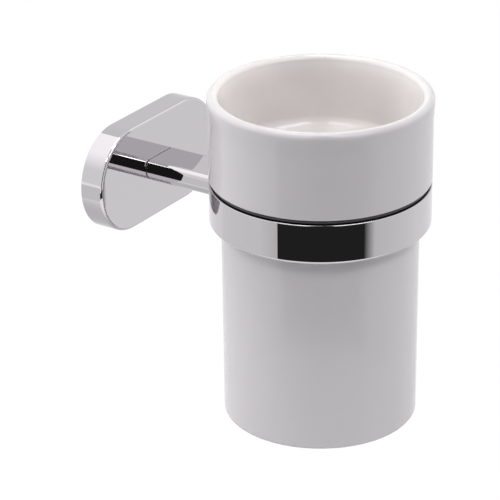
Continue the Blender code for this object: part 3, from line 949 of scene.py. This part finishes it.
def bent_strip(name, path, thickness, width, material):
    """A strip of sheet whose middle line follows (y, z) points, made solid across its width."""
    front, back = [], []
    for i, point in enumerate(path):
        here = Vector(point)
        before = (here - Vector(path[i - 1])).normalized() if i else None
        after = (Vector(path[i + 1]) - here).normalized() if i + 1 < len(path) else None
        along = ((before or after) + (after or before)).normalized()
        side = Vector((-along.y, along.x))
        reach = thickness / 2 / max(along.dot(before or after), 0.5)
        front.append(here + side * reach)
        back.append(here - side * reach)
    outline = front + back[::-1]
    loops = [[(x, p.x, p.y) for p in outline] for x in (-width / 2, width / 2)]
    return closed_solid(name, loops, material)


def tab_paths(s):
    """The middle lines, as (y, z, radius) corners, of the hooked tab above and the stop below."""
    sheet = s.thickness
    bend_y = BRACKET_LOW.y + s.hook_flare
    bend_z = (s.middle_height - sheet) / 2
    slope = s.hook_flare - sheet / 2 / math.sqrt(2)
    root = bend_z - 2 * sheet
    hook = [
        (-sheet / 2, root, 0),
        (-sheet / 2, bend_z, sheet * 0.8),
        (bend_y, bend_z, sheet * 0.6),
        (bend_y - slope, bend_z + slope, 0),
    ]
    stop = [(-sheet / 2, -root, 0), (-sheet / 2, -bend_z, sheet * 0.8), (BRACKET_LOW.y, -bend_z, 0)]
    return {"hook_tab": hook, "stop_tab": stop}


class HOLDER_OT_wall_bracket(bpy.types.Operator):
    """Make the plated wall bracket that the rosette hangs on"""

    bl_idname = "holder.wall_bracket"
    bl_label = "Wall bracket"

    def execute(self, context):
        s = context.scene.bracket_settings
        plating = finish(zinc_plating, s)
        bracket = prism("plated_bracket", plate_outline(s), 0, -s.thickness, plating)
        for centre in (-s.slot_spacing / 2, s.slot_spacing / 2):
            slot = obround(s.slot_width / 2, (s.slot_length - s.slot_width) / 2, 20, centre)
            combine(bracket, prism("slot", slot, OVERRUN, -s.thickness - OVERRUN))
        plain(bracket)
        for name, corners in tab_paths(s).items():
            path = filleted(corners, False, 8)
            combine(bracket, bent_strip(name, path, s.thickness, s.tab_width, plating), "UNION")
        plain(bracket)
        bevel = bracket.modifiers.new("cut_edges", "BEVEL")
        bevel.width = s.edge
        bevel.segments = 2
        bevel.limit_method = "ANGLE"
        bevel.angle_limit = math.radians(50)
        plain(bracket)
        for vertex in bracket.data.vertices:
            vertex.co.y = min(vertex.co.y, 0)
        weighted(bracket)
        stand_for(bracket, "holder", "wall_bracket")
        return {"FINISHED"}


# Screws and washers


def shank(s, top, bottom):
    """A row of (radius, height) points down a threaded shank, and how much thread each one has."""
    per_turn = 8
    count = round((top - bottom) / s.pitch * per_turn)
    shares = spread(0, 1, count)
    points = [(s.radius, top + (bottom - top) * share) for share in shares]
    marks = [min(min(share, 1 - share) * count / per_turn, 1.0) for share in shares]
    return points, marks


def fastener(s, node, above, shank_ends, below, socket, place):
    """A turned screw: points above the thread, the thread, and points below it, with a hex socket."""
    points, marks = shank(s, *shank_ends)
    threads = [0.0] * len(above) + marks + [0.0] * len(below)
    thread = {"threads": threads, "pitch": s.pitch, "depth": s.thread_depth}
    own_place = Matrix.Identity(4)
    profile = above + points + below
    screw = turned(f"threaded_{node}", profile, s.steps, finish(screw_steel, s), own_place, **thread)
    radius, *ends = socket
    combine(screw, rod("hex_socket", radius, min(ends), max(ends), HEX_SIDES, own_place))
    plain(screw, place)
    weighted(screw)
    stand_for(screw, "holder", node)


def arm_screw(s, side, x):
    """A cap screw, its head inside the rosette and its shank in the arm."""
    head_radius = (SCREW_HIGH.z - SCREW_LOW.z) / 2
    seat = SCREW_HIGH.y - s.head_height
    tip = SCREW_LOW.y - seat
    above = [(0, s.head_height)]
    above += arc(head_radius - s.head_round, s.head_height - s.head_round, s.head_round, 90, 0, 6)
    above += arc(head_radius - s.head_round / 4, s.head_round / 4, s.head_round / 4, 0, -90, 3)
    below = [(s.radius - s.point / 2, tip), (0, tip)]
    socket = (s.socket_radius, s.head_height + OVERRUN, s.head_height - s.socket_depth)
    ends = (0, tip + s.point / 2)
    fastener(s, f"arm_screw_{side}", above, ends, below, socket, turned_over(x, seat, -90))


def lock_washer(s, side, x):
    """A spring washer: a square wire bent round, its two ends a split apart."""
    outer = (WASHER_HIGH.x - WASHER_LOW.x) / 2
    inner = s.radius + s.hole_clearance
    half_split = math.asin(s.washer_split / 2 / outer)
    edge = (WASHER_HIGH.y - WASHER_LOW.y) / 8
    corners = [
        (outer, WASHER_LOW.y, edge),
        (outer, WASHER_HIGH.y, edge),
        (inner, WASHER_HIGH.y, edge),
        (inner, WASHER_LOW.y, edge),
    ]
    section = filleted(corners, True, 3)
    start = math.pi / 2 + half_split
    loops = []
    for angle in spread(start, start + math.tau - 2 * half_split, s.steps):
        loops.append([(x + r * math.cos(angle), y, r * math.sin(angle)) for r, y in section])
    washer = closed_solid(f"split_washer_{side}", loops, finish(screw_steel, s))
    weighted(washer)
    stand_for(washer, "holder", f"lock_washer_{side}")


def grub_screw(s):
    """A headless screw in the rosette's underside, its point on the bracket's stop."""
    above = [(0, GRUB_HIGH.z), (s.radius - s.point, GRUB_HIGH.z)]
    below = [(s.radius - s.point / 4, GRUB_LOW.z), (0, GRUB_LOW.z)]
    ends = (GRUB_HIGH.z - s.point, GRUB_LOW.z + s.point / 4)
    socket = (s.grub_socket_radius, GRUB_LOW.z - OVERRUN, GRUB_LOW.z + s.grub_socket_depth)
    fastener(s, "grub_screw", above, ends, below, socket, AT_GRUB)


class HOLDER_OT_fasteners(bpy.types.Operator):
    """Make the two arm screws, their lock washers and the grub screw"""

    bl_idname = "holder.fasteners"
    bl_label = "Screws and washers"

    def execute(self, context):
        s = context.scene.screw_settings
        for side, x in (("left", -s.spacing / 2), ("right", s.spacing / 2)):
            arm_screw(s, side, x)
            lock_washer(s, side, x)
        grub_screw(s)
        return {"FINISHED"}


# Studio


def direction(azimuth, elevation):
    """Unit vector towards a place seen at this azimuth from the front and this height."""
    level = math.cos(elevation)
    return Vector((math.sin(azimuth) * level, -math.cos(azimuth) * level, math.sin(elevation)))


def soft_lamp(name, azimuth, elevation, distance, size, power, mirrored=True):
    """A soft light that faces the tumbler's axis, and that metal may mirror or not."""
    light = bpy.data.lights.new(name, "AREA")
    light.shape = "RECTANGLE"
    light.size, light.size_y = size
    light.energy = power
    lamp = bpy.data.objects.new(name, light)
    back = direction(math.radians(azimuth), math.radians(elevation))
    lamp.location = AXIS + back * distance
    lamp.rotation_mode = "QUATERNION"
    lamp.rotation_quaternion = back.to_track_quat("Z", "Y")
    lamp.visible_camera = False
    lamp.visible_glossy = mirrored
    bpy.context.scene.collection.objects.link(lamp)


def card_grey(tree, greys):
    """A glow that runs from one grey to another, by each point's share."""
    share = tree.add("ShaderNodeAttribute", output="Fac", attribute_name="share")
    near, far = [(grey, grey, grey, 1) for grey in greys]
    return {
        "Base Color": (0, 0, 0, 1),
        "Roughness": 1.0,
        "Specular IOR Level": 0.0,
        "Emission Strength": 1.0,
        "Emission Color": tree.mix(share, near, far),
    }


def card(name, azimuths, elevations, distance, greys, upright=False):
    """A curved card round the tumbler's axis, which only reflections show.

    It runs from one grey to another, sideways or upright.
    """
    across, up = 24, 12
    around = [AXIS + direction(math.radians(turn), 0) * distance for turn in spread(*azimuths, across)]
    heights = [Vector((0, 0, distance * math.tan(math.radians(rise)))) for rise in spread(*elevations, up)]
    bm, _ = skinned([[place + height for place in around] for height in heights], False)
    sheet = mesh_object(name, bm, finish(card_grey, greys, name))
    shares = [j / up if upright else i / across for j in range(up + 1) for i in range(across + 1)]
    sheet.data.attributes.new("share", "FLOAT", "POINT").data.foreach_set("value", shares)
    sheet.visible_camera = False
    sheet.visible_diffuse = False
    sheet.visible_shadow = False


def lamps(s):
    """Broad soft lamps to both sides and below, and smaller ones above that the glaze mirrors."""
    view = math.degrees(s.azimuth)
    far = s.lamp_distance
    soft_lamp("left_lamp", view - 104, 22, far, (0.8, 0.8), 6.6, mirrored=False)
    soft_lamp("right_lamp", view + 110, 22, far, (0.8, 0.8), 4.4, mirrored=False)
    soft_lamp("high_left_lamp", view - 31, 50, far, (0.5, 0.14), 0.9)
    soft_lamp("high_right_lamp", view + 36, 50, far, (0.7, 0.14), 1.9)
    soft_lamp("top_lamp", 190, 81, far, (0.5, 0.5), 3.6)
    soft_lamp("low_lamp", view, -42, far * 0.3, (0.3, 0.3), 0.17, mirrored=False)


def cards(s):
    """Dark cards before the tumbler, pale wings beside them, and glows and a shade higher up."""
    view = math.degrees(s.azimuth)
    near, far = s.near_cards, s.far_cards
    dark = (s.dark_card, s.dark_card)
    left, left_end = view - 44.5, view - 64
    right, right_end = view + 42.5, view + 54
    band = (-30, -8)
    high = (view - 150, view - 70)
    card("front_card", (left, right), (-29, -17), near, dark)
    card("camera_card", (view - 13, view + 13), (-17, 80), near, dark)
    card("left_fade", (left_end, left), band, near, (0.86, 0.7))
    card("left_wing", (view - 118, left_end), band, near, (0.9, 0.86))
    card("right_fade", (right, right_end), band, near, (0.05, 0.77))
    card("right_wing", (right_end, view + 106), band, near, (0.77, 0.93))
    card("high_glow", high, (46, 64), far, (1.5, 1.5))
    card("high_fade", high, (20, 46), far, (1.0, 1.5), upright=True)
    card("right_glow", (view + 112, view + 148), (30, 44), far, (1.35, 1.35))
    card("back_shade", (view + 150, view + 210), (0, 56), far, (0.87, 0.87))


def seen_directly(tree):
    """Masks for rays from the camera, and for those that only gloss or glass has turned."""
    camera = tree.add("ShaderNodeLightPath", output="Is Camera Ray")
    glossy = camera.output("Is Glossy Ray").greater(camera.output("Is Transmission Ray"))
    scattered = tree.maths("MINIMUM", camera.output("Diffuse Depth"), 1)
    return camera, glossy * (1 - scattered)


def studio_floor(tree, s):
    """Pale floor: white to the camera; in reflections a painted shade below the tumbler and a painted glow
    before it. Its lamp-lit share keeps the object's shadow.
    """
    camera, mirrored = seen_directly(tree)
    x, y, _, radius = from_axis(tree)
    front = direction(s.azimuth, 0)
    forward = x * front.x + y * front.y
    # Painted shade: in reflections the floor is darker close below the tumbler
    glow = s.floor_shade + radius.rising(s.floor_drop / 2, s.floor_drop * 2.4) * (1 - s.floor_shade)
    # Painted light: in reflections the floor glows brighter towards the camera
    glow = glow + forward.rising(0, s.floor_drop) * (s.front_floor - glow)
    own_light_share = 0.92
    white = 1.06
    seen = camera.greater(mirrored) * own_light_share
    return {
        "Roughness": 0.9,
        "Specular IOR Level": 0.1,
        "Emission Strength": 1.0,
        "Base Color": tree.mix(seen, opaque(s.floor_colour), (0, 0, 0, 1)),
        "Emission Color": seen * (white - mirrored * (white - glow)),
    }


def floor(s):
    place = Matrix.Translation((AXIS.x, AXIS.y, TUMBLER_LOW.z - s.floor_drop))
    bm = bmesh.new()
    bmesh.ops.create_circle(bm, cap_ends=True, segments=96, radius=s.floor_radius, matrix=place)
    mesh_object("studio_floor", bm, finish(studio_floor, s))


def studio_world(s):
    """White all round to the camera, to metal and to glass, and a softer fill on matt surfaces."""
    world = bpy.data.worlds.new("studio_world")
    world.use_nodes = True
    bpy.context.scene.world = world
    tree = Tree(world.node_tree)
    camera, mirrored = seen_directly(tree)
    white = s.fill + camera.greater(mirrored) * (1 - s.fill)
    tree.feed(world.node_tree.nodes["Background"], "Color", white)


def studio_camera(s):
    data = bpy.data.cameras.new("camera")
    data.lens = s.lens
    data.sensor_width = 36
    data.clip_start = 0.05
    data.clip_end = 50
    camera = bpy.data.objects.new("camera", data)
    back = direction(s.azimuth, s.elevation)
    turn = back.to_track_quat("Z", "Y").to_matrix().to_4x4() @ Matrix.Rotation(s.roll, 4, "Z")
    camera.matrix_world = Matrix.Translation(Vector(s.aim) + back * s.distance) @ turn
    bpy.context.scene.collection.objects.link(camera)
    bpy.context.scene.camera = camera


class HOLDER_OT_studio(bpy.types.Operator):
    """Make the floor, the world, the soft lamps, the cards that metal mirrors, and the camera"""

    bl_idname = "holder.studio"
    bl_label = "Studio"

    def execute(self, context):
        s = context.scene.studio_settings
        for make in (floor, studio_world, lamps, cards, studio_camera):
            make(s)
        context.scene.view_settings.view_transform = "Standard"
        return {"FINISHED"}


# Panel and registration


class HOLDER_PT_panel(bpy.types.Panel):
    """Sizes, colours and makers of the toothbrush holder"""

    bl_label = "Toothbrush Holder"
    bl_space_type = "VIEW_3D"
    bl_region_type = "UI"
    bl_category = "Toothbrush Holder"

    def draw(self, context):
        for operator, name, _ in MAKERS:
            box = self.layout.box()
            box.operator(operator.bl_idname)
            settings = getattr(context.scene, name)
            for size in settings.__annotations__:
                box.prop(settings, size)


MAKERS = (
    (HOLDER_OT_tumbler, "tumbler_settings", TumblerSettings),
    (HOLDER_OT_seat_ring, "seat_settings", SeatSettings),
    (HOLDER_OT_ring_and_arm, "ring_settings", RingSettings),
    (HOLDER_OT_rosette, "rosette_settings", RosetteSettings),
    (HOLDER_OT_wall_bracket, "bracket_settings", BracketSettings),
    (HOLDER_OT_fasteners, "screw_settings", ScrewSettings),
    (HOLDER_OT_studio, "studio_settings", StudioSettings),
)


def register():
    for operator, name, group in MAKERS:
        bpy.utils.register_class(group)
        setattr(bpy.types.Scene, name, PointerProperty(type=group))
        bpy.utils.register_class(operator)
    bpy.utils.register_class(HOLDER_PT_panel)


def unregister():
    bpy.utils.unregister_class(HOLDER_PT_panel)
    for operator, name, group in reversed(MAKERS):
        bpy.utils.unregister_class(operator)
        delattr(bpy.types.Scene, name)
        bpy.utils.unregister_class(group)


def main():
    register()
    bpy.ops.holder.tumbler()
    bpy.ops.holder.seat_ring()
    bpy.ops.holder.ring_and_arm()
    bpy.ops.holder.rosette()
    bpy.ops.holder.wall_bracket()
    bpy.ops.holder.fasteners()
    bpy.ops.holder.studio()


if __name__ == "__main__":
    main()
